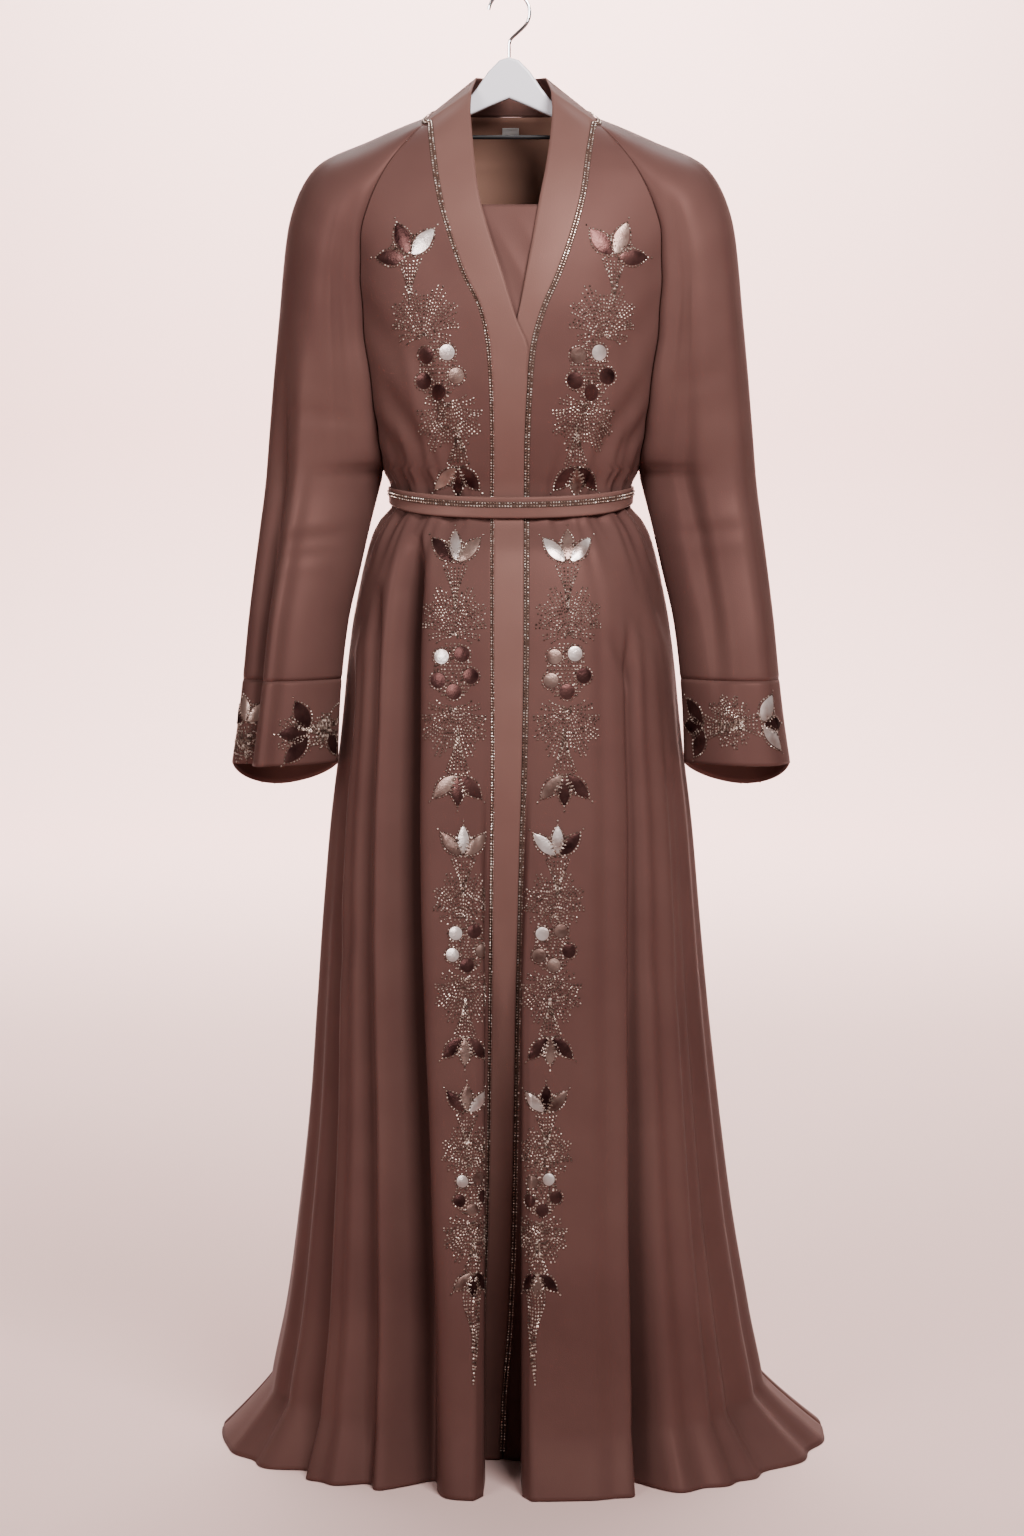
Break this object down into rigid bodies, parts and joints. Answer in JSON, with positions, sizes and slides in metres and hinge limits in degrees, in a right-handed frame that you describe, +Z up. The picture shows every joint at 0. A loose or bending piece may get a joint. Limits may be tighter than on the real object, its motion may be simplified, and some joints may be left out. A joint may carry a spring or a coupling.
{
  "type": "abaya cloak on a hanger",
  "caption": "Long open-front abaya cloak with overlapping bands, raglan sleeves, flared cuffs and a narrow belt, filled out and hung on a hanger by its hook.",
  "frame": {"origin": "inner top of the hanger's hook, where a rail holds it", "axes": "+Z up, -Y the front of the garment, +X to the viewer's right"},
  "size_m": [0.6492, 0.6442, 1.542],
  "materials": {
    "satin": "brown crepe satin, soft sheen",
    "band_satin": "the same satin, interlined, smooth",
    "label": "blank white woven tape",
    "white_paint": "white lacquer, semi-gloss",
    "chrome": "polished wire",
    "black_bar": "black, satin"
  },
  "bodies": {
    "root": {"front_left": "satin", "front_right": "satin", "back": "satin", "sleeve_left": "satin", "sleeve_right": "satin", "cuff_left": "satin", "cuff_right": "satin", "band_left": "band_satin", "band_right": "band_satin", "band_neck": "band_satin", "chest_panel": "satin", "belt": "satin", "label": "label", "hanger": "white_paint", "hook": "chrome", "hanger_bar": "black_bar"}
  },
  "joints": []
}
